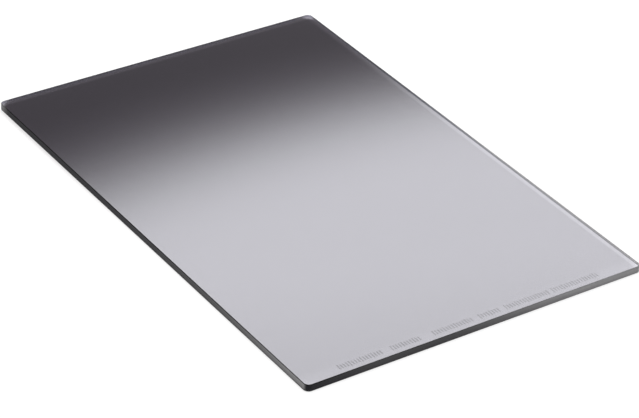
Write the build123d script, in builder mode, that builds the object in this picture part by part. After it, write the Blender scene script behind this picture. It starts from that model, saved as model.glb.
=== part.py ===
"""A graduated neutral density filter: one flat, rectangular plate of optical glass.

The plate lies on its uncoated face. The origin is the middle of that face, +Z is up
through the thickness, +X runs across the width and +Y runs along the length, from the
clear end to the dark end. The grey coating is far thinner than any solid can be, so it
adds nothing to the shape. All sizes are in millimetres.
"""

import os

from build123d import *

# Format of the plate: the width is what a holder's grooves take, and the length leaves
# room to slide the plate up and down in them.
plate_width = 100.0
plate_length = 150.0
plate_thickness = 2.0

# The four corners are ground round, so that the plate starts into a groove.
corner_radius = 1.5

# Narrow flats ground on both rims take the sharp corner off the glass.
rim_chamfer = 0.15

with BuildPart() as filter_plate:
    with BuildSketch(Plane.XY) as outline:
        RectangleRounded(plate_width, plate_length, corner_radius)
    extrude(amount=plate_thickness)

    # Each rim is the closed loop round one face: four straight sides and four corner arcs.
    top_rim = filter_plate.faces().sort_by(Axis.Z)[-1].edges()
    bottom_rim = filter_plate.faces().sort_by(Axis.Z)[0].edges()
    chamfer(top_rim + bottom_rim, length=rim_chamfer)

filter_plate.part.label = "filter_plate"

os.makedirs("parts", exist_ok=True)
export_step(filter_plate.part, "parts/filter_plate.step")
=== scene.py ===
"""Looks of a graduated neutral density filter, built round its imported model.

The filter is one plate of coated glass. Both faces are polished and carry a neutral grey that is
dense at the far end and thins out to the middle of the plate. The four walls are fine-ground, and
a narrow rim between each wall and each face is ground to 45 degrees. All sizes are in metres, in
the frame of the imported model: +Y runs towards the dark end, and +Z up through the thickness.
"""

import logging
import math
from collections.abc import Mapping
from dataclasses import dataclass, field
from enum import Enum

import bmesh
import bpy
from mathutils import Matrix, Vector


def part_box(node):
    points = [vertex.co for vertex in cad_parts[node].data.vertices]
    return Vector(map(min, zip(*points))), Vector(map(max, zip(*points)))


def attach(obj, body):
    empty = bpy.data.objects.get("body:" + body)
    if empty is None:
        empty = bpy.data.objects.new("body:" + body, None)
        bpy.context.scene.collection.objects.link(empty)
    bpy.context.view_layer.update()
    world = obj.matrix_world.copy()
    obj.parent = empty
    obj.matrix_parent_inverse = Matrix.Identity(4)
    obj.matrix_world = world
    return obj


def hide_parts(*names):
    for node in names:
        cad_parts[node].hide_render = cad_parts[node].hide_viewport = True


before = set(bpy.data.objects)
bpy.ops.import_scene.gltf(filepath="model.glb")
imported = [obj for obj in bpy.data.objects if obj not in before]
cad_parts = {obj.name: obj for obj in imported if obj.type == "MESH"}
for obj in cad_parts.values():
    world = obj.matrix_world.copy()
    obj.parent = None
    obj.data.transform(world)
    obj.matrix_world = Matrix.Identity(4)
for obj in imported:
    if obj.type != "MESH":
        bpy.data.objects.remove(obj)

PLATE_NODE = "filter_plate"
BODY = "root"

log = logging.getLogger("graduated_filter")

Colour = tuple[float, float, float, float]
Place = tuple[float, float, float]


class TreeKind(Enum):
    """The two kinds of node group that the script builds, and the node that places each."""

    GEOMETRY = ("GeometryNodeTree", "GeometryNodeGroup")
    SHADER = ("ShaderNodeTree", "ShaderNodeGroup")


class SocketKind(Enum):
    """The kinds of named socket on a node group."""

    NUMBER = "NodeSocketFloat"
    COUNT = "NodeSocketInt"
    VECTOR = "NodeSocketVector"
    COLOUR = "NodeSocketColor"
    GEOMETRY = "NodeSocketGeometry"
    MATERIAL = "NodeSocketMaterial"


class Ray(Enum):
    """The Light Path outputs that tell one kind of ray from another."""

    CAMERA = "Is Camera Ray"
    GLOSSY = "Is Glossy Ray"
    TRANSMISSION = "Is Transmission Ray"
    SHADOW = "Is Shadow Ray"
    DIFFUSE = "Is Diffuse Ray"


class Steps:
    """Adds nodes to one tree and joins them, so that a tree reads as a list of steps."""

    def __init__(self, tree: bpy.types.NodeTree) -> None:
        """Keeps the tree that the nodes go into.

        Args:
            tree: A tree of any kind, or the tree of a group.
        """
        self.tree = tree

    def feed(self, socket: bpy.types.NodeSocket, value: object) -> None:
        """Gives an input a plain value, or joins it to the output that feeds it."""
        if isinstance(value, bpy.types.NodeSocket):
            self.tree.links.new(value, socket)
        else:
            socket.default_value = value

    def add(
        self, kind: str, inputs: Mapping[str | int, object] | None = None, **settings: object
    ) -> bpy.types.Node:
        """Adds a node, sets its properties and fills its inputs.

        Args:
            kind: Blender's name for the type of node.
            inputs: For each input, by name or number, a value or the output that feeds it.
            **settings: Properties of the node itself, such as operation.

        Returns:
            The new node.
        """
        node = self.tree.nodes.new(kind)
        for name, value in settings.items():
            setattr(node, name, value)
        for name, value in (inputs or {}).items():
            self.feed(node.inputs[name], value)
        return node

    def place(self, group: "Group", inputs: Mapping[str, object]) -> bpy.types.Node:
        """Places a node group in the tree.

        Args:
            group: The group.
            inputs: Values or outputs for its inputs, by name.

        Returns:
            The group's node.
        """
        return self.add(group.kind.value[1], inputs, node_tree=group.tree)

    def maths(self, operation: str, *values: object) -> bpy.types.NodeSocket:
        """Adds a Math node.

        Args:
            operation: The operation, as Blender names it.
            *values: Its inputs in order, each a number or an output.

        Returns:
            The result's output.
        """
        return self.add("ShaderNodeMath", dict(enumerate(values)), operation=operation).outputs[0]

    def span(
        self,
        value: object,
        source: tuple[object, object],
        target: tuple[object, object] = (0.0, 1.0),
        ease: str = "LINEAR",
    ) -> bpy.types.NodeSocket:
        """Maps a value from one span onto another and holds it there.

        Args:
            value: The number or output to map.
            source: The values that give the two ends of target.
            target: The results at those two values.
            ease: LINEAR, SMOOTHSTEP or SMOOTHERSTEP.

        Returns:
            The result's output.
        """
        inputs = {
            "Value": value,
            "From Min": source[0],
            "From Max": source[1],
            "To Min": target[0],
            "To Max": target[1],
        }
        return self.add("ShaderNodeMapRange", inputs, interpolation_type=ease).outputs["Result"]

    def parts(self, vector: object) -> tuple[bpy.types.NodeSocket, ...]:
        """Splits a vector into its X, Y and Z outputs."""
        return tuple(self.add("ShaderNodeSeparateXYZ", {"Vector": vector}).outputs)

    def vector(self, x: object, y: object, z: object) -> bpy.types.NodeSocket:
        """Joins three numbers or outputs into a vector."""
        return self.add("ShaderNodeCombineXYZ", {"X": x, "Y": y, "Z": z}).outputs[0]

    def blend(self, share: object, first: object, second: object) -> bpy.types.NodeSocket:
        """Mixes two colours.

        Args:
            share: How much of the second colour there is, from 0 to 1.
            first: A colour or its output.
            second: A colour or its output.

        Returns:
            The mixed colour's output.
        """
        node = self.add("ShaderNodeMix", {"Factor": share}, data_type="RGBA")
        colours = [socket for socket in node.inputs if socket.type == "RGBA"]
        self.feed(colours[0], first)
        self.feed(colours[1], second)
        return next(socket for socket in node.outputs if socket.type == "RGBA")


class Group(Steps):
    """A node group with named inputs and outputs."""

    def __init__(
        self,
        name: str,
        kind: TreeKind,
        inputs: Mapping[str, tuple[SocketKind, object]],
        outputs: Mapping[str, SocketKind],
    ) -> None:
        """Makes the group and its sockets.

        Args:
            name: The group's name.
            kind: Whether it goes into geometry or shader trees.
            inputs: Each input's kind and default value, by name.
            outputs: Each output's kind, by name.
        """
        super().__init__(bpy.data.node_groups.new(name, kind.value[0]))
        self.kind = kind
        self.identifiers: dict[str, str] = {}
        for label, (socket_kind, value) in inputs.items():
            socket = self.tree.interface.new_socket(
                label, in_out="INPUT", socket_type=socket_kind.value
            )
            self.identifiers[label] = socket.identifier
            if value is not None:
                socket.default_value = value
        for label, socket_kind in outputs.items():
            self.tree.interface.new_socket(
                label, in_out="OUTPUT", socket_type=socket_kind.value
            )
        self.given = self.tree.nodes.new("NodeGroupInput").outputs
        self.results = self.tree.nodes.new("NodeGroupOutput").inputs


def graded_grey_group() -> Group:
    """Builds the grey of a graduated filter, as the colour that light keeps on its way through.

    The coating's optical density rises in a soft S from one end of the ramp to the other, and
    light keeps ten to the power of minus that density. The lines of equal density are bowed a
    little, so that the grey reaches further along the sides than in the middle. The base is made a
    touch denser at the clear end, most of all in its -X corner, as painted shade for light that
    falls off towards that end. It is a touch thinner again in a strip along that end's edge, as
    painted light that comes in through the wall. On the lower face the coating is thinner near
    the +X and +Y edges, its base more so than the graded part, as painted light along those
    edges. Each corner is thinned right out, with a soft edge that runs across it, as a painted
    glow of light in the corners. These painted corners are smaller on the -X side, and the upper
    face is a little thinner in them too. The grey's hue changes with its density.

    Returns:
        A group that gives the colour left of white light behind the plate.
    """
    number = SocketKind.NUMBER
    group = Group(
        "graded_grey",
        TreeKind.SHADER,
        {
            "Position": (SocketKind.VECTOR, None),
            "Bow": (number, 1.0),
            "Clear Up To": (number, 0.0),
            "Dark From": (number, 0.05),
            "Steepness": (number, 1.0),
            "Clear Density": (number, 0.1),
            "Added Density": (number, 0.9),
            "Width": (number, 0.1),
            "Length": (number, 0.15),
            "Thickness": (number, 0.002),
            "Thin From": (number, 0.0017),
            "Thin To": (number, 0.001),
            "Clear End Gain": (number, 0.19),
            "Clear End From": (number, 0.035),
            "Clear End To": (number, -0.025),
            "Clear End Slant": (number, 0.35),
            "End Strip From": (number, 0.0055),
            "End Strip To": (number, 0.0022),
            "End Strip Thinning": (number, 0.13),
            "Base Thinning": (number, 0.6),
            "Graded Thinning": (number, 0.32),
            "Corner From": (number, 0.00335),
            "Corner To": (number, 0.00175),
            "Corner Skew": (number, 0.007),
            "Upper Corner From": (number, 0.00425),
            "Upper Corner To": (number, 0.00305),
            "Upper Corner Thinning": (number, 0.3),
            "Clear Hue": (SocketKind.COLOUR, (1.0, 1.0, 1.0, 1.0)),
            "Dark Hue": (SocketKind.COLOUR, (1.0, 1.0, 1.0, 1.0)),
        },
        {"Colour": SocketKind.COLOUR},
    )
    given = group.given
    x, y, z = group.parts(given["Position"])
    along = group.maths("MULTIPLY_ADD", group.maths("MULTIPLY", x, x), given["Bow"], y)
    ends = (given["Clear Up To"], given["Dark From"])
    ramp = group.span(along, ends, ease="SMOOTHSTEP")
    shaped = group.maths("POWER", ramp, given["Steepness"])
    graded = group.maths("MULTIPLY", shaped, given["Added Density"])
    from_clear_end = group.maths("MULTIPLY_ADD", given["Length"], 0.5, y)
    # Painted shade: the base is made denser towards the clear end, most of all in its -X corner.
    slanted = group.maths("MULTIPLY_ADD", x, given["Clear End Slant"], from_clear_end)
    end_reach = (given["Clear End From"], given["Clear End To"])
    gain = group.span(slanted, end_reach, (0.0, given["Clear End Gain"]), "SMOOTHSTEP")
    # Painted light: the base is thinned in a strip along the clear end's edge.
    strip_reach = (given["End Strip From"], given["End Strip To"])
    strip = group.span(
        from_clear_end, strip_reach, (0.0, given["End Strip Thinning"]), "SMOOTHSTEP"
    )
    change = group.maths("SUBTRACT", gain, strip)
    base = group.maths("MULTIPLY_ADD", given["Clear Density"], change, given["Clear Density"])
    insets = []
    short_of_edges = []
    for size, place in ((given["Width"], x), (given["Length"], y)):
        edge = group.maths("MULTIPLY", size, 0.5)
        insets.append(group.maths("SUBTRACT", edge, group.maths("ABSOLUTE", place)))
        short_of_edges.append(group.maths("SUBTRACT", edge, place))
    # Painted light: on the lower face the coating is thinned near the +X and +Y edges.
    edge_reach = (given["Thin From"], given["Thin To"])
    near_edge = group.span(
        group.maths("MINIMUM", *short_of_edges), edge_reach, ease="SMOOTHSTEP"
    )
    # Painted light: each corner's coating is thinned right out as a glow of light, the upper face a
    # little too.
    skewed = group.maths("MULTIPLY", x, group.maths("MULTIPLY", given["Corner Skew"], -1.0))
    across = group.maths("ADD", group.maths("ADD", *insets), skewed)
    painted_corner_light = group.span(
        across, (given["Corner From"], given["Corner To"]), ease="SMOOTHSTEP"
    )
    upper_reach = (given["Upper Corner From"], given["Upper Corner To"])
    upper_corner = group.span(
        across, upper_reach, (0.0, given["Upper Corner Thinning"]), "SMOOTHSTEP"
    )
    on_lower_face = group.span(z, (given["Thickness"], 0.0))
    kept_parts = []
    graded_thinning = group.maths("MULTIPLY", shaped, given["Graded Thinning"])
    for part, thinning in ((base, given["Base Thinning"]), (graded, graded_thinning)):
        lower = group.maths(
            "MAXIMUM", group.maths("MULTIPLY", near_edge, thinning), painted_corner_light
        )
        change = group.maths("SUBTRACT", lower, upper_corner)
        thinned = group.maths("MULTIPLY_ADD", change, on_lower_face, upper_corner)
        kept_parts.append(group.maths("MULTIPLY", part, group.maths("SUBTRACT", 1.0, thinned)))
    density = group.maths("ADD", *kept_parts)
    kept = group.maths("POWER", 10.0, group.maths("MULTIPLY", density, -1.0))
    densest = group.maths("ADD", given["Clear Density"], given["Added Density"])
    depth = group.span(density, (given["Clear Density"], densest))
    hue_share = group.maths("MULTIPLY", depth, depth)
    hue = group.blend(hue_share, given["Clear Hue"], given["Dark Hue"])
    tinted = group.add("ShaderNodeVectorMath", {0: hue, "Scale": kept}, operation="SCALE")
    group.feed(group.results["Colour"], tinted.outputs[0])
    return group


def ground_texture_group() -> Group:
    """Builds the texture of fine-ground glass: long streaks left by the wheel, and a fine grain.

    Returns:
        A group that gives a mask from 0 to 1 for colour and gloss, and a height for bumps.
    """
    number = SocketKind.NUMBER
    group = Group(
        "ground_texture",
        TreeKind.SHADER,
        {
            "Position": (SocketKind.VECTOR, None),
            "Streaks Along": (number, 150.0),
            "Streaks Across": (number, 6000.0),
            "Grain": (number, 5000.0),
            "Grain Share": (number, 0.4),
            "Mask From": (number, 0.35),
            "Mask To": (number, 0.65),
        },
        {"Mask": number, "Height": number},
    )
    given = group.given
    x, y, z = group.parts(given["Position"])
    along = group.maths("MULTIPLY", group.maths("ADD", x, y), given["Streaks Along"])
    across = group.maths("MULTIPLY", z, given["Streaks Across"])
    streaks = group.add(
        "ShaderNodeTexNoise",
        {"Vector": group.vector(along, across, 0.0), "Scale": 1.0, "Detail": 3.0},
    )
    grain = group.add(
        "ShaderNodeTexNoise",
        {"Vector": given["Position"], "Scale": given["Grain"], "Detail": 2.0},
    )
    change = group.maths("SUBTRACT", grain.outputs["Fac"], streaks.outputs["Fac"])
    height = group.maths("MULTIPLY_ADD", change, given["Grain Share"], streaks.outputs["Fac"])
    mask_ends = (given["Mask From"], given["Mask To"])
    group.feed(group.results["Mask"], group.span(height, mask_ends))
    group.feed(group.results["Height"], height)
    return group


def painted_wall_light_group() -> Group:
    """Builds how pale the ground edge of the plate looks, by the light that the glass brings to it.

    All of it is painted light and shade in the edge's colour. The coating takes the light away
    at the dark end, so the long walls are painted paler towards the clear end. The wall of the
    clear end is painted dark in one corner and pales to the other in two steps, a short one and
    a long one, and the wall of the dark end stays dark. The two corners of the dark end are
    painted with a glow of gathered light, the walls beside them a little too. Every wall is
    painted a little paler at its top, and the long walls are painted darker at the foot, as
    painted shade.

    Returns:
        A group that gives the painted light of the walls, and how far each place glows with light
        from outside.
    """
    number = SocketKind.NUMBER
    group = Group(
        "painted_wall_light",
        TreeKind.SHADER,
        {
            "Position": (SocketKind.VECTOR, None),
            "Width": (number, 0.1),
            "Length": (number, 0.15),
            "Thickness": (number, 0.002),
            "Corner Radius": (number, 0.0015),
            "Fall Off": (number, 3.8),
            "Long Gain": (number, 0.79),
            "First Step": (number, 0.16),
            "First Step Ends": (number, -0.03),
            "Second Step": (number, 0.82),
            "Second Step Starts": (number, -0.015),
            "Second Step Ends": (number, 0.042),
            "Painted Glow Gain": (number, 0.7),
            "Corner Turned": (number, 0.65),
            "Glow Reach": (number, 0.0055),
            "Glow Sharpness": (number, 2.4),
            "Dark End Glow": (number, 0.16),
            "Dark End From": (number, 0.05),
            "Dark End To": (number, 0.005),
            "Top Gain": (number, 0.3),
            "Foot From": (number, 0.0008),
            "Foot To": (number, 0.0001),
            "Foot Share": (number, 0.3),
        },
        {"Painted Light": number, "Glow": number},
    )
    given = group.given
    x, y, z = group.parts(given["Position"])
    half = group.maths("MULTIPLY", given["Length"], 0.5)
    # Painted light: the long walls pale towards the clear end.
    share = group.maths("DIVIDE", group.maths("SUBTRACT", half, y), given["Length"])
    # Painted shade: the long walls are darker at the foot.
    foot_reach = (given["Foot From"], given["Foot To"])
    painted_foot_shade = group.span(z, foot_reach, (1.0, given["Foot Share"]), "SMOOTHSTEP")
    long_gain = group.maths("MULTIPLY", painted_foot_shade, given["Long Gain"])
    long_wall = group.maths(
        "MULTIPLY", group.maths("POWER", share, given["Fall Off"]), long_gain
    )
    # Painted light: the clear end's wall pales from its -X corner towards +X in two steps.
    corner = group.maths("MULTIPLY", given["Width"], -0.5)
    first_step = group.span(
        x, (corner, given["First Step Ends"]), (0.0, given["First Step"])
    )
    second_step = group.span(
        x,
        (given["Second Step Starts"], given["Second Step Ends"]),
        (0.0, given["Second Step"]),
        "SMOOTHSTEP",
    )
    end_wall = group.maths("ADD", first_step, second_step)
    past_corner = group.maths("SUBTRACT", group.maths("MULTIPLY", y, -1.0), half)
    turned = group.maths("ADD", group.maths("DIVIDE", past_corner, given["Corner Radius"]), 1.0)
    on_end = group.span(turned, (0.0, given["Corner Turned"]), ease="SMOOTHSTEP")
    change = group.maths("SUBTRACT", end_wall, long_wall)
    painted_light = group.maths("MULTIPLY_ADD", change, on_end, long_wall)

    near_edges = []
    for size, place in ((given["Width"], group.maths("ABSOLUTE", x)), (given["Length"], y)):
        edge = group.maths("MULTIPLY", size, 0.5)
        reach = (group.maths("SUBTRACT", edge, given["Glow Reach"]), edge)
        near_edges.append(group.span(place, reach, ease="SMOOTHSTEP"))
    glow = group.maths("MULTIPLY", *near_edges)
    # Painted light: every wall is paler towards its top.
    upwards = group.maths("SUBTRACT", group.maths("DIVIDE", z, given["Thickness"]), 0.5)
    top_slope = group.maths("MULTIPLY", given["Top Gain"], 2.0)
    gain = group.maths("MULTIPLY_ADD", upwards, top_slope, 1.0)
    # Painted light: the walls near the dark end's corners are painted paler, as a glow.
    painted_glow = group.maths("MULTIPLY", glow, given["Painted Glow Gain"])
    pale = group.maths("MULTIPLY", group.maths("MAXIMUM", painted_light, painted_glow), gain)
    from_dark_end = group.maths("SUBTRACT", half, y)
    dark_end = (given["Dark End From"], given["Dark End To"])
    end_glow = group.span(from_dark_end, dark_end, (0.0, given["Dark End Glow"]), "SMOOTHSTEP")
    corner_glow = group.maths("POWER", glow, given["Glow Sharpness"])
    group.feed(group.results["Painted Light"], pale)
    group.feed(group.results["Glow"], group.maths("MAXIMUM", corner_glow, end_glow))
    return group


@dataclass
class Effects:
    """The shader node groups that more than one finish draws on, each built once."""

    graded_grey: Group = field(default_factory=graded_grey_group)
    ground_texture: Group = field(default_factory=ground_texture_group)
    painted_wall_light: Group = field(default_factory=painted_wall_light_group)


class Material(Steps):
    """A new material's tree, with what every finish starts from."""

    def __init__(self, name: str) -> None:
        """Makes the material, and nodes for its output and its coordinates.

        Args:
            name: The material's name.
        """
        self.data = bpy.data.materials.new(name)
        self.data.use_nodes = True
        super().__init__(self.data.node_tree)
        self.tree.nodes.clear()
        self.output = self.add("ShaderNodeOutputMaterial")
        self.position = self.add("ShaderNodeTexCoord").outputs["Object"]

    def let_light_through(
        self, seen: bpy.types.NodeSocket, colour: object
    ) -> bpy.types.NodeSocket:
        """Lets light pass straight through on its way to the floor, in place of a bent path.

        Args:
            seen: The shader that the eye meets.
            colour: The colour that light keeps as it passes.

        Returns:
            The mixed shader's output.
        """
        clear = self.add("ShaderNodeBsdfTransparent", {"Color": colour}).outputs[0]
        light_path = self.add("ShaderNodeLightPath").outputs
        for ray in (Ray.SHADOW, Ray.DIFFUSE):
            inputs = {0: light_path[ray.value], 1: seen, 2: clear}
            seen = self.add("ShaderNodeMixShader", inputs).outputs[0]
        return seen

    def finish(self, shader: bpy.types.NodeSocket) -> bpy.types.Material:
        """Joins the shader to the output and returns the finished material."""
        self.feed(self.output.inputs["Surface"], shader)
        return self.data


@dataclass(frozen=True)
class CoatedGlass:
    """Polished optical glass with the graded grey on it.

    Light that passes straight through meets both faces, so each of them lets through the square
    root of the grey.
    """

    bow: float = 1.4
    clear_up_to: float = -0.0565
    dark_from: float = 0.0685
    steepness: float = 5.0
    clear_density: float = 0.147
    added_density: float = 1.0
    clear_hue: Colour = (0.98, 0.974, 1.028, 1.0)
    dark_hue: Colour = (0.98, 0.82, 1.09, 1.0)
    refraction: float = 1.52
    roughness: tuple[float, float] = (0.005, 0.025)
    haze_scale: float = 45.0
    haze_span: tuple[float, float] = (0.3, 0.7)
    one_face_power: float = 0.5

    def build(self, effects: Effects, plate: "FilterPlate") -> bpy.types.Material:
        """Builds the material.

        Args:
            effects: The shared node groups.
            plate: The plate, whose sizes say where its edges are.

        Returns:
            The finish of the plate's two faces.
        """
        material = Material("coated_glass")
        grey = material.place(
            effects.graded_grey,
            {
                "Position": material.position,
                "Bow": self.bow,
                "Clear Up To": self.clear_up_to,
                "Dark From": self.dark_from,
                "Steepness": self.steepness,
                "Clear Density": self.clear_density,
                "Added Density": self.added_density,
                "Width": plate.width,
                "Length": plate.length,
                "Thickness": plate.thickness,
                "Clear Hue": self.clear_hue,
                "Dark Hue": self.dark_hue,
            },
        )
        haze = material.add(
            "ShaderNodeTexNoise",
            {"Vector": material.position, "Scale": self.haze_scale, "Detail": 4.0},
        )
        glass = material.add(
            "ShaderNodeBsdfPrincipled",
            {
                "Base Color": grey.outputs["Colour"],
                "Roughness": material.span(
                    haze.outputs["Fac"], self.haze_span, self.roughness
                ),
                "IOR": self.refraction,
                "Transmission Weight": 1.0,
            },
        )
        one_face = material.add(
            "ShaderNodeGamma", {"Color": grey.outputs["Colour"], "Gamma": self.one_face_power}
        )
        return material.finish(
            material.let_light_through(glass.outputs[0], one_face.outputs[0])
        )


@dataclass(frozen=True)
class GroundGlass:
    """Fine-ground glass, dark where little light is carried to it and pale where there is more.

    Both tones are painted light and shade in its colour. Its back, seen from inside the glass, is
    painted paler than its front, as painted light, and bluish at the dark end. Light from outside
    shows through it: a little along the straight walls, more towards the dark end, and most in
    that end's two corners.
    """

    name: str
    # dark and pale are the front's colour at full painted shade and full painted light; inner_dark
    # and inner_pale are the same for its back.
    dark: Colour
    pale: Colour
    inner_dark: Colour
    inner_pale: Colour
    roughness: tuple[float, float]
    let_through: Colour
    inner_pale_from: float = 0.1
    long_gain: float = 0.79
    first_step: float = 0.16
    second_step: float = 0.82
    painted_glow_gain: float = 0.7
    gloss: float = 0.14
    lit_from_outside: Colour = (0.83, 0.84, 0.97, 1.0)
    lit_share: tuple[float, float] = (0.05, 0.9)
    bump: float = 0.25
    streak_depth: float = 0.00001
    mottle: float = 0.12
    refraction: float = 1.52

    def build(self, effects: Effects, plate: "FilterPlate") -> bpy.types.Material:
        """Builds the material.

        Args:
            effects: The shared node groups.
            plate: The plate, whose sizes say where its walls are.

        Returns:
            The finish of the walls or of the rims.
        """
        material = Material(self.name)
        texture = material.place(effects.ground_texture, {"Position": material.position})
        painted_light = material.place(
            effects.painted_wall_light,
            {
                "Position": material.position,
                "Width": plate.width,
                "Length": plate.length,
                "Thickness": plate.thickness,
                "Corner Radius": plate.corner_radius,
                "Long Gain": self.long_gain,
                "First Step": self.first_step,
                "Second Step": self.second_step,
                "Painted Glow Gain": self.painted_glow_gain,
            },
        )
        # Painted light and shade: the front runs from dark to pale by the painted light.
        tone = material.blend(painted_light.outputs["Painted Light"], self.dark, self.pale)
        light_streaks = (1.0 - self.mottle, 1.0 + self.mottle)
        mottle = material.span(texture.outputs["Mask"], (0.0, 1.0), light_streaks)
        mottled = material.add(
            "ShaderNodeVectorMath", {0: tone, "Scale": mottle}, operation="SCALE"
        )
        bump = material.add(
            "ShaderNodeBump",
            {
                "Height": texture.outputs["Height"],
                "Strength": self.bump,
                "Distance": self.streak_depth,
            },
        )
        # Painted light: the back is painted paler than the front, by the same painted light.
        inner_share = material.span(painted_light.outputs["Painted Light"], (0.0, self.inner_pale_from))
        inner = material.blend(inner_share, self.inner_dark, self.inner_pale)
        backs = material.add("ShaderNodeNewGeometry").outputs["Backfacing"]
        surface = material.add(
            "ShaderNodeBsdfPrincipled",
            {
                "Base Color": material.blend(backs, mottled.outputs[0], inner),
                "Roughness": material.span(texture.outputs["Mask"], (0.0, 1.0), self.roughness),
                "IOR": self.refraction,
                "Specular IOR Level": self.gloss,
                "Normal": bump.outputs[0],
            },
        )
        outside_light = material.add("ShaderNodeBsdfTranslucent", {"Color": self.lit_from_outside})
        share = material.span(painted_light.outputs["Glow"], (0.0, 1.0), self.lit_share)
        inputs = {
            0: material.maths("MULTIPLY", backs, share),
            1: surface.outputs[0],
            2: outside_light.outputs[0],
        }
        both_sides = material.add("ShaderNodeMixShader", inputs)
        return material.finish(
            material.let_light_through(both_sides.outputs[0], self.let_through)
        )


@dataclass(frozen=True)
class FadedInk:
    """A thin grey print, worn unevenly and more towards +X."""

    full: Colour = (0.44, 0.44, 0.45, 1.0)
    worn: Colour = (0.52, 0.52, 0.53, 1.0)
    wear_scale: float = 600.0
    wear_along: float = 6.0
    wear_span: tuple[float, float] = (0.2, 0.8)
    roughness: float = 0.5
    let_through: Colour = (0.85, 0.85, 0.85, 1.0)

    def build(self) -> bpy.types.Material:
        """Builds the material and returns it."""
        material = Material("faded_ink")
        wear = material.add(
            "ShaderNodeTexNoise",
            {"Vector": material.position, "Scale": self.wear_scale, "Detail": 3.0},
        )
        x = material.parts(material.position)[0]
        worn = material.maths("MULTIPLY_ADD", x, self.wear_along, wear.outputs["Fac"])
        share = material.span(worn, self.wear_span)
        surface = material.add(
            "ShaderNodeBsdfPrincipled",
            {
                "Base Color": material.blend(share, self.full, self.worn),
                "Roughness": self.roughness,
            },
        )
        return material.finish(material.let_light_through(surface.outputs[0], self.let_through))


def piece_from_tree(
    name: str, tree: Group, values: Mapping[str, object]
) -> bpy.types.Object:
    """Runs a geometry tree and keeps its result as a plain mesh that faces outwards.

    Args:
        name: The piece's name.
        tree: The geometry tree.
        values: Values for its inputs, by name.

    Returns:
        The piece, at the origin, with no modifier.
    """
    piece = bpy.data.objects.new(name, bpy.data.meshes.new(name + "_start"))
    bpy.context.scene.collection.objects.link(piece)
    modifier = piece.modifiers.new("shape", "NODES")
    modifier.node_group = tree.tree
    for label, value in values.items():
        modifier[tree.identifiers[label]] = value
    depsgraph = bpy.context.evaluated_depsgraph_get()
    made = bpy.data.meshes.new_from_object(piece.evaluated_get(depsgraph))
    piece.modifiers.remove(modifier)
    shape = bmesh.new()
    shape.from_mesh(made)
    bmesh.ops.recalc_face_normals(shape, faces=shape.faces)
    shape.to_mesh(made)
    shape.free()
    made.name = name
    piece.data = made
    return piece


def ring_point_group() -> Group:
    """Builds the rule for the points of a rounded rectangle, numbered round from the +X side.

    Returns:
        A group that gives the position of one numbered point.
    """
    number = SocketKind.NUMBER
    group = Group(
        "ring_point",
        TreeKind.GEOMETRY,
        {
            "Number": (number, 0.0),
            "Width": (number, 0.1),
            "Length": (number, 0.15),
            "Corner Radius": (number, 0.0015),
            "Corner Steps": (number, 16.0),
            "Inset": (number, 0.0),
            "Height": (number, 0.0),
        },
        {"Position": SocketKind.VECTOR},
    )
    given = group.given
    per_corner = group.maths("ADD", given["Corner Steps"], 1.0)
    corner = group.maths("FLOOR", group.maths("DIVIDE", given["Number"], per_corner))
    within = group.maths("SUBTRACT", given["Number"], group.maths("MULTIPLY", corner, per_corner))
    turned = group.maths("ADD", corner, group.maths("DIVIDE", within, given["Corner Steps"]))
    angle = group.maths("MULTIPLY", turned, math.pi / 2)
    diagonal = group.maths("MULTIPLY_ADD", corner, math.pi / 2, math.pi / 4)
    reach = group.maths("SUBTRACT", given["Corner Radius"], given["Inset"])
    axes = []
    for size, turn in ((given["Width"], "COSINE"), (given["Length"], "SINE")):
        side = group.maths("SIGN", group.maths(turn, diagonal))
        centre = group.maths("SUBTRACT", group.maths("MULTIPLY", size, 0.5), given["Corner Radius"])
        arc = group.maths("MULTIPLY", reach, group.maths(turn, angle))
        axes.append(group.maths("MULTIPLY_ADD", side, centre, arc))
    group.feed(group.results["Position"], group.vector(axes[0], axes[1], given["Height"]))
    return group


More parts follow.
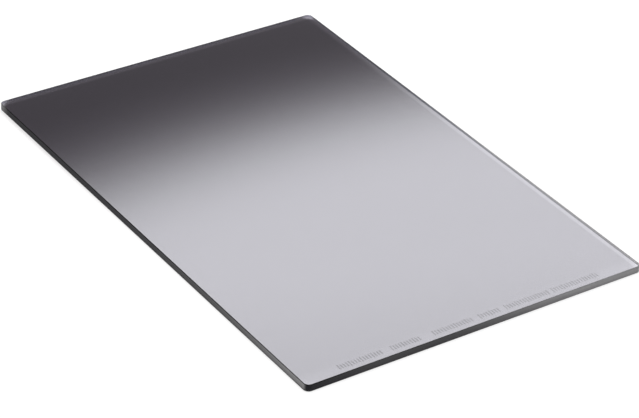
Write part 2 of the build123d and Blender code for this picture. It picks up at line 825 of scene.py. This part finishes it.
@dataclass
class FilterPlate:
    """The glass plate, with its two faces, four walls and the rims between them.

    The wall's section runs from the lower face to the upper one: face, rim, wall, rim, face. A
    narrow flat breaks each of the four edges in it.
    """

    width: float
    length: float
    thickness: float
    corner_radius: float = 0.0015
    rim_chamfer: float = 0.00015
    broken_edge: float = 0.00002
    corner_steps: int = 16
    flat_area: float = 1e-6
    face_tilt: float = 0.97
    wall_tilt: float = 0.2
    glass: CoatedGlass = CoatedGlass()
    # The near-black dark colours and the pale ones of wall and rim are painted shade and painted
    # light, not the glass's own tone.
    wall: GroundGlass = GroundGlass(
        "ground_wall",
        dark=(0.006, 0.006, 0.009, 1.0),
        pale=(0.297, 0.295, 0.303, 1.0),
        inner_dark=(0.32, 0.32, 0.37, 1.0),
        inner_pale=(0.73, 0.73, 0.71, 1.0),
        roughness=(0.45, 0.6),
        let_through=(0.9, 0.9, 0.9, 1.0),
    )
    rim: GroundGlass = GroundGlass(
        "ground_rim",
        dark=(0.003, 0.003, 0.003, 1.0),
        pale=(0.26, 0.26, 0.27, 1.0),
        inner_dark=(0.32, 0.32, 0.37, 1.0),
        inner_pale=(0.63, 0.63, 0.61, 1.0),
        roughness=(0.35, 0.5),
        let_through=(0.45, 0.45, 0.45, 1.0),
        long_gain=0.22,
        first_step=0.15,
        second_step=0.68,
        painted_glow_gain=0.5,
        gloss=0.075,
    )

    @classmethod
    def from_node(cls, node: str) -> "FilterPlate":
        """Takes the plate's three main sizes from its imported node."""
        low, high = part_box(node)
        return cls(*(high - low))

    def section(self) -> list[tuple[float, float]]:
        """Lists the wall's section, as how far in and how high each point is."""
        rim, broken = self.rim_chamfer, self.broken_edge
        lower = [
            (rim + broken, 0.0),
            (rim - broken, broken),
            (broken, rim - broken),
            (0.0, rim + broken),
        ]
        upper = [(inset, self.thickness - height) for inset, height in reversed(lower)]
        return lower + upper

    def tree(self) -> Group:
        """Builds the geometry tree of the plate.

        The wall is a grid: its columns go round the outline and its rows follow the section. Two
        flat outlines close it.

        Returns:
            The tree, whose inputs are the plate's sizes and finishes.
        """
        number = SocketKind.NUMBER
        group = Group(
            "plate_shape",
            TreeKind.GEOMETRY,
            {
                "Width": (number, self.width),
                "Length": (number, self.length),
                "Corner Radius": (number, self.corner_radius),
                "Corner Steps": (SocketKind.COUNT, self.corner_steps),
                "Glass": (SocketKind.MATERIAL, None),
                "Wall": (SocketKind.MATERIAL, None),
                "Rim": (SocketKind.MATERIAL, None),
            },
            {"Geometry": SocketKind.GEOMETRY},
        )
        given = group.given
        ring = ring_point_group()
        outline = {
            label: given[label] for label in ("Width", "Length", "Corner Radius", "Corner Steps")
        }
        per_ring = group.maths(
            "MULTIPLY", group.maths("ADD", given["Corner Steps"], 1.0), 4.0
        )
        index = group.add("GeometryNodeInputIndex").outputs[0]
        section = self.section()

        rows = float(len(section))
        column = group.maths("FLOOR", group.maths("DIVIDE", index, rows))
        row = group.maths("SUBTRACT", index, group.maths("MULTIPLY", column, rows))
        insets, heights = (self.by_row(group, row, values) for values in zip(*section))
        place = group.place(
            ring,
            outline
            | {
                "Number": group.maths("MODULO", column, per_ring),
                "Inset": insets,
                "Height": heights,
            },
        )
        columns = group.maths("ADD", per_ring, 1.0)
        grid = group.add(
            "GeometryNodeMeshGrid", {"Vertices X": columns, "Vertices Y": len(section)}
        )
        band = group.add(
            "GeometryNodeSetPosition", {"Geometry": grid.outputs[0], "Position": place.outputs[0]}
        )
        shells = [band.outputs[0]]
        for inset, height in (section[0], section[-1]):
            disc = group.add(
                "GeometryNodeMeshCircle", {"Vertices": per_ring}, fill_type="NGON"
            )
            edge = group.place(
                ring, outline | {"Number": index, "Inset": inset, "Height": height}
            )
            face = group.add(
                "GeometryNodeSetPosition",
                {"Geometry": disc.outputs[0], "Position": edge.outputs[0]},
            )
            shells.append(face.outputs[0])
        joined = group.add("GeometryNodeJoinGeometry")
        for shell in reversed(shells):
            group.feed(joined.inputs[0], shell)
        closed = group.add(
            "GeometryNodeMergeByDistance",
            {"Geometry": joined.outputs[0], "Distance": self.broken_edge / 10},
        )
        small = group.maths(
            "LESS_THAN", group.add("GeometryNodeInputMeshFaceArea").outputs[0], self.flat_area
        )
        shaded = group.add(
            "GeometryNodeSetShadeSmooth", {0: closed.outputs[0], "Shade Smooth": small}
        )
        solid = group.add("GeometryNodeRealizeInstances", {0: shaded.outputs[0]})
        normal = group.add("GeometryNodeInputNormal").outputs[0]
        tilt = group.maths("ABSOLUTE", group.parts(normal)[2])
        middle = (self.face_tilt + self.wall_tilt) / 2
        reach = (self.face_tilt - self.wall_tilt) / 2
        dressed = solid
        for label, chosen in (
            ("Glass", group.maths("GREATER_THAN", tilt, self.face_tilt)),
            ("Wall", group.maths("LESS_THAN", tilt, self.wall_tilt)),
            ("Rim", group.maths("COMPARE", tilt, middle, reach)),
        ):
            dressed = group.add(
                "GeometryNodeSetMaterial",
                {"Geometry": dressed.outputs[0], "Selection": chosen, "Material": given[label]},
            )
        group.feed(group.results["Geometry"], dressed.outputs[0])
        return group

    @staticmethod
    def by_row(
        group: Group, row: bpy.types.NodeSocket, values: tuple[float, ...]
    ) -> bpy.types.NodeSocket:
        """Picks one of a few values by row number.

        Args:
            group: The tree.
            row: The row's number.
            values: One value for each row.

        Returns:
            The picked value's output.
        """
        switch = group.add("GeometryNodeIndexSwitch", data_type="FLOAT")
        while len(switch.index_switch_items) < len(values):
            switch.index_switch_items.new()
        group.feed(switch.inputs[0], row)
        for socket, value in zip(switch.inputs[1:], values):
            socket.default_value = value
        return switch.outputs[0]

    def build(self, effects: Effects) -> bpy.types.Object:
        """Makes the plate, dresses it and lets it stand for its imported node.

        Args:
            effects: The shared node groups.

        Returns:
            The plate.
        """
        plate = piece_from_tree(
            "coated_plate",
            self.tree(),
            {
                "Width": self.width,
                "Length": self.length,
                "Corner Radius": self.corner_radius,
                "Corner Steps": self.corner_steps,
                "Glass": self.glass.build(effects, self),
                "Wall": self.wall.build(effects, self),
                "Rim": self.rim.build(effects, self),
            },
        )
        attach(plate, BODY)
        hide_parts(PLATE_NODE)
        return plate


def stroke_run_group() -> Group:
    """Builds one run of upright strokes, all alike but for the taller ones at even steps.

    Returns:
        A group that gives the run's strokes as instances.
    """
    number = SocketKind.NUMBER
    group = Group(
        "stroke_run",
        TreeKind.GEOMETRY,
        {
            "Start": (number, 0.0),
            "End": (number, 0.01),
            "Row Place": (number, -0.07),
            "Height": (number, 0.002),
            "Pitch": (number, 0.0005),
            "Stroke Width": (number, 0.0002),
            "Stroke Length": (number, 0.0018),
            "Tall Every": (number, 4.0),
            "Short Share": (number, 0.8),
            "Film": (number, 0.00001),
        },
        {"Geometry": SocketKind.GEOMETRY},
    )
    given = group.given
    reach = group.maths("SUBTRACT", given["End"], given["Start"])
    spaces = group.maths("FLOOR", group.maths("DIVIDE", reach, given["Pitch"]))
    count = group.maths("ADD", spaces, 1.0)
    line = group.add(
        "GeometryNodeMeshLine",
        {
            "Count": count,
            "Start Location": group.vector(given["Start"], given["Row Place"], given["Height"]),
            "Offset": group.vector(given["Pitch"], 0.0, 0.0),
        },
    )
    stroke = group.add(
        "GeometryNodeMeshCube",
        {"Size": group.vector(given["Stroke Width"], given["Stroke Length"], given["Film"])},
    )
    index = group.add("GeometryNodeInputIndex").outputs[0]
    past_tall = group.maths("MODULO", index, given["Tall Every"])
    is_short = group.maths("MINIMUM", past_tall, 1.0)
    length = group.span(is_short, (0.0, 1.0), (1.0, given["Short Share"]))
    run = group.add(
        "GeometryNodeInstanceOnPoints",
        {
            "Points": line.outputs[0],
            "Instance": stroke.outputs[0],
            "Scale": group.vector(1.0, length, 1.0),
        },
    )
    group.feed(group.results["Geometry"], run.outputs[0])
    return group


@dataclass
class IndexRow:
    """A faint row of printed strokes along the clear end, just under the top coating.

    The strokes stand in runs with gaps between them and say nothing.
    """

    plate: FilterPlate
    runs: tuple[tuple[float, float], ...] = (
        (-0.0394, -0.0274),
        (-0.0243, -0.0156),
        (-0.0121, -0.0008),
        (0.0016, 0.0076),
        (0.0094, 0.0223),
        (0.0238, 0.0376),
    )
    from_edge: float = 0.0025
    depth: float = 0.00003
    pitch: float = 0.0008
    stroke_width: float = 0.00035
    stroke_length: float = 0.002
    film: float = 0.00001
    ink: FadedInk = FadedInk()

    def tree(self) -> Group:
        """Builds the geometry tree of the row, with one placed group for each run.

        Returns:
            The tree, whose inputs are the strokes' sizes and their ink.
        """
        number = SocketKind.NUMBER
        group = Group(
            "index_row_shape",
            TreeKind.GEOMETRY,
            {
                "Pitch": (number, self.pitch),
                "Stroke Width": (number, self.stroke_width),
                "Stroke Length": (number, self.stroke_length),
                "Ink": (SocketKind.MATERIAL, None),
            },
            {"Geometry": SocketKind.GEOMETRY},
        )
        given = group.given
        stroke_run = stroke_run_group()
        joined = group.add("GeometryNodeJoinGeometry")
        for start, end in self.runs:
            run = group.place(
                stroke_run,
                {
                    "Start": start,
                    "End": end,
                    "Row Place": self.from_edge - self.plate.length / 2,
                    "Height": self.plate.thickness - self.depth,
                    "Pitch": given["Pitch"],
                    "Stroke Width": given["Stroke Width"],
                    "Stroke Length": given["Stroke Length"],
                    "Film": self.film,
                },
            )
            group.feed(joined.inputs[0], run.outputs[0])
        real = group.add("GeometryNodeRealizeInstances", {0: joined.outputs[0]})
        inked = group.add(
            "GeometryNodeSetMaterial", {"Geometry": real.outputs[0], "Material": given["Ink"]}
        )
        group.feed(group.results["Geometry"], inked.outputs[0])
        return group

    def build(self) -> bpy.types.Object:
        """Makes the row and lets it ride with the plate.

        Returns:
            The row of strokes, as one piece.
        """
        row = piece_from_tree(
            "index_row",
            self.tree(),
            {
                "Pitch": self.pitch,
                "Stroke Width": self.stroke_width,
                "Stroke Length": self.stroke_length,
                "Ink": self.ink.build(),
            },
        )
        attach(row, BODY)
        return row


def seen_ray(steps: Steps) -> bpy.types.NodeSocket:
    """Tells the rays that show a thing, straight on, mirrored or through glass, from the rest.

    Args:
        steps: The tree.

    Returns:
        A number that is 1 for those rays and 0 for the others.
    """
    light_path = steps.add("ShaderNodeLightPath").outputs
    first = steps.maths("ADD", light_path[Ray.CAMERA.value], light_path[Ray.GLOSSY.value])
    every = steps.maths("ADD", first, light_path[Ray.TRANSMISSION.value])
    return steps.maths("MINIMUM", every, 1.0)


@dataclass(frozen=True)
class PaleFloor:
    """A matt pale floor that reads as white and still takes the object's shadow."""

    colour: Colour = (0.68, 0.68, 0.68, 1.0)
    lift: float = 0.4

    def build(self) -> bpy.types.Material:
        """Builds the material and returns it."""
        material = Material("pale_floor")
        surface = material.add(
            "ShaderNodeBsdfPrincipled",
            {
                "Base Color": self.colour,
                "Roughness": 1.0,
                "Specular IOR Level": 0.0,
                "Emission Color": (1.0, 1.0, 1.0, 1.0),
                "Emission Strength": material.maths("MULTIPLY", seen_ray(material), self.lift),
            },
        )
        return material.finish(surface.outputs[0])


@dataclass(frozen=True)
class Softbox:
    """A square soft lamp that faces the plate."""

    name: str
    place: Place
    size: float
    power: float
    colour: tuple[float, float, float] = (1.0, 1.0, 1.0)

    def build(self) -> bpy.types.Object:
        """Makes the lamp, turned to the origin, and returns it."""
        data = bpy.data.lights.new(self.name, "AREA")
        data.shape = "SQUARE"
        data.size = self.size
        data.energy = self.power
        data.color = self.colour
        lamp = bpy.data.objects.new(self.name, data)
        lamp.location = self.place
        lamp.rotation_euler = Vector(self.place).to_track_quat("Z", "Y").to_euler()
        bpy.context.scene.collection.objects.link(lamp)
        return lamp


@dataclass
class Studio:
    """A pale floor under a pale surround, with soft lamps."""

    floor_radius: float = 4.0
    floor_sides: int = 96
    air_gap: float = 0.00002
    floor: PaleFloor = PaleFloor()
    fill: float = 0.68
    horizon: float = 1.0
    overhead: float = 0.15
    fade_from: float = 0.17
    fade_to: float = 0.64
    lamps: tuple[Softbox, ...] = (
        Softbox("key_softbox", (0.25, 0.28, 0.62), 0.35, 2.0),
        Softbox("fill_softbox", (-0.9, -0.2, 0.6), 0.6, 1.5, (1.0, 0.92, 0.82)),
    )

    def build(self) -> None:
        """Makes the floor, the surround and the lamps."""
        self.build_floor()
        self.build_world()
        for lamp in self.lamps:
            lamp.build()

    def build_floor(self) -> None:
        """Makes the floor, a hair below the plate."""
        shape = bmesh.new()
        bmesh.ops.create_circle(
            shape,
            cap_ends=True,
            segments=self.floor_sides,
            radius=self.floor_radius,
            matrix=Matrix.Translation((0.0, 0.0, -self.air_gap)),
        )
        mesh = bpy.data.meshes.new("floor")
        shape.to_mesh(mesh)
        shape.free()
        mesh.materials.append(self.floor.build())
        floor = bpy.data.objects.new("floor", mesh)
        bpy.context.scene.collection.objects.link(floor)

    def build_world(self) -> None:
        """Makes the surround: white at the horizon and greyer overhead, with an even light."""
        world = bpy.data.worlds.new("surround")
        world.use_nodes = True
        bpy.context.scene.world = world
        steps = Steps(world.node_tree)
        steps.tree.nodes.clear()
        direction = steps.add("ShaderNodeTexCoord").outputs["Generated"]
        fade = (self.fade_from, self.fade_to)
        shown = steps.span(
            steps.parts(direction)[2], fade, (self.horizon, self.overhead), "SMOOTHSTEP"
        )
        change = steps.maths("SUBTRACT", shown, self.fill)
        strength = steps.maths("MULTIPLY_ADD", change, seen_ray(steps), self.fill)
        white = (1.0, 1.0, 1.0, 1.0)
        background = steps.add("ShaderNodeBackground", {"Color": white, "Strength": strength})
        output = steps.add("ShaderNodeOutputWorld")
        steps.feed(output.inputs["Surface"], background.outputs[0])


@dataclass(frozen=True)
class Viewpoint:
    """The camera: where it stands, which way it looks, and its lens."""

    place: Place = (-0.34764, -0.50084, 0.38124)
    look: Place = (0.48477, 0.69056, -0.53677)
    up: Place = (0.2707, 0.46511, 0.84285)
    lens_mm: float = 156.47
    sensor_mm: float = 36.0

    def build(self) -> bpy.types.Object:
        """Makes the camera, sets it as the scene's own and returns it."""
        data = bpy.data.cameras.new("view")
        data.lens = self.lens_mm
        data.sensor_width = self.sensor_mm
        data.clip_start = 0.01
        data.clip_end = 50.0
        look = Vector(self.look).normalized()
        right = look.cross(Vector(self.up)).normalized()
        up = right.cross(look)
        camera = bpy.data.objects.new("view", data)
        turn = Matrix((right, up, -look)).transposed().to_4x4()
        camera.matrix_world = Matrix.Translation(self.place) @ turn
        bpy.context.scene.collection.objects.link(camera)
        bpy.context.scene.camera = camera
        return camera


def main() -> None:
    """Builds the dressed filter and its studio, in order, and reports each piece."""
    logging.basicConfig(level=logging.INFO, format="%(name)s: %(message)s")
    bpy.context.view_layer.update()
    Viewpoint().build()
    Studio().build()
    log.info("camera, floor, surround and lamps are in place")
    effects = Effects()
    plate = FilterPlate.from_node(PLATE_NODE)
    row = IndexRow(plate)
    for piece in (plate.build(effects), row.build()):
        log.info("%s: %d faces", piece.name, len(piece.data.polygons))
    bpy.context.scene.view_settings.view_transform = "Standard"


if __name__ == "__main__":
    main()
